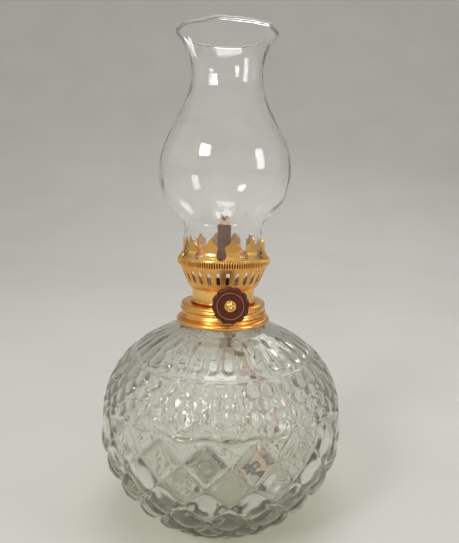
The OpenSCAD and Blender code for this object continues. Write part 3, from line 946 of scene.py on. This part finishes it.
def make_rivet():
    """The shaft's end, split and spread into petals over a washer."""
    front, back = KNOB_Y - 0.08, KNOB_Y + 0.3
    section = round_outline([(0.82, front), (2.15, front), (2.15, back), (0.82, back)], 0.1)
    washer = lathe("rivet_washer", section, 72, (SHAFT_X, SHAFT_Z), None, "y")
    dress(washer, BRASS, "knob", "gilt_brass", "knob_washer")
    y = KNOB_Y - 0.12
    outline = [(0.12, y), (1.75, y), (1.85, y - 0.12), (1.7, y - 0.3),
               (1.2, y - 0.62), (0.75, y - 0.8), (0.4, y - 0.72), (0.12, y - 0.5)]

    def petal(r, z, a):
        lobe = 0.5 + 0.5 * math.cos(5 * a + 0.6)
        return r * (1 - 0.28 * (1 - lobe) * ramp01(r, 0.4, 1.4)), z + 0.14 * (1 - lobe) * ramp01(r, 0.3, 1.2)

    ob = lathe("rivet_petals", outline, 100, (SHAFT_X, SHAFT_Z), petal, "y", 60)
    # Painted light: the petals take the lighter copy of the brass.
    dress(ob, BRASS_POLISHED_LIT, "knob", "gilt_brass", "knob_rivet")


make_knob()
make_rivet()


# ---------------------------------------------------------------- CAD nodes that stay, in better materials

def repaint(name, mat):
    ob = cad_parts[name]
    ob.data.materials.clear()
    ob.data.materials.append(mat)


# The deck plate takes the pale inside, with its painted light.
KEPT = {
    "cap_gasket": RUBBER, "wick_plate": BRASS, "deck_plate": INNER_PLATING_AND_LIGHT, "wick_tube": BRONZE,
    "tube_ferrule": BRASS, "wheel_bracket": BRASS, "feed_wheel": STEEL, "adjuster_shaft": STEEL,
    "shaft_bush": BRASS, "shaft_washer": STEEL,
}
for kept, mat in KEPT.items():
    repaint(kept, mat)


# ---------------------------------------------------------------- floor and light

def make_stage():
    """Floor that sweeps up into a backdrop, so there is no horizon behind the glass."""
    half, start, bend = 4.0, 0.5, 1.1  # in metres: half the floor, where it starts to rise, its radius
    sweep = np.vstack([[(-half, 0.0)], arc((start, bend), bend, -90, 0, 15), [(start + bend, half)]])
    verts = [(x, y, z) for y, z in sweep for x in (-half, half)]
    me = bpy.data.meshes.new("floor")
    me.from_pydata(verts, [], [(2 * i, 2 * i + 1, 2 * i + 3, 2 * i + 2) for i in range(len(sweep) - 1)])
    me.polygons.foreach_set("use_smooth", [True] * len(me.polygons))
    floor = bpy.data.objects.new("floor", me)
    bpy.context.collection.objects.link(floor)
    mat, nt, out = new_material("floor_mat")
    p = node(nt, "ShaderNodeBsdfPrincipled", Roughness=0.85)
    clouds = noise(nt, object_coords(nt), 9, 2, 0.5)
    tone = ramp(nt, clouds, [(0.3, (0.60, 0.585, 0.55)), (0.7, (0.63, 0.615, 0.58))])
    nt.links.new(tone, p.inputs["Base Color"])
    nt.links.new(p.outputs["BSDF"], out.inputs["Surface"])
    me.materials.append(mat)


def make_world():
    """A soft surround, lightest just above the horizon."""
    world = bpy.data.worlds.new("world")
    bpy.context.scene.world = world
    world.use_nodes = True
    nt = world.node_tree
    nt.nodes.clear()
    out = nt.nodes.new("ShaderNodeOutputWorld")
    bg = nt.nodes.new("ShaderNodeBackground")
    tc = nt.nodes.new("ShaderNodeTexCoord")
    xyz = nt.nodes.new("ShaderNodeSeparateXYZ")
    nt.links.new(tc.outputs["Generated"], xyz.inputs[0])
    sky = ramp(nt, map_range(nt, xyz.outputs["Z"], 0, 1, -1, 1),
               [(0.0, (0.46, 0.45, 0.43)), (0.5, (0.54, 0.53, 0.50)), (0.6, (0.66, 0.65, 0.625)),
                (0.8, (0.46, 0.46, 0.45)), (1.0, (0.58, 0.58, 0.57))])
    nt.links.new(sky, bg.inputs["Color"])
    nt.links.new(bg.outputs["Background"], out.inputs["Surface"])


def area(name, place, target, size, power, colour=(1, 1, 1)):
    """A rectangular area light in metres and watts, aimed at a point."""
    data = bpy.data.lights.new(name, "AREA")
    data.shape, data.size, data.size_y = "RECTANGLE", size[0], size[1]
    data.energy, data.color = power, colour
    ob = bpy.data.objects.new(name, data)
    bpy.context.collection.objects.link(ob)
    ob.location = place
    ob.rotation_euler = (Vector(target) - Vector(place)).to_track_quat("-Z", "Y").to_euler()


make_stage()
make_world()
bpy.context.scene.view_settings.view_transform = "Standard"
area("key", (-0.45, -0.62, 0.62), (0, 0, 0.1), (0.24, 0.24), 3.0, (1, 0.98, 0.94))
area("fill", (0.75, -0.35, 0.42), (0, 0, 0.1), (0.2, 0.4), 1.5)
area("back", (0.25, 0.75, 0.75), (0, 0, 0.12), (0.6, 0.25), 1.5)
area("top", (0, -0.05, 1.0), (0, 0, 0), (0.4, 0.4), 2.0)
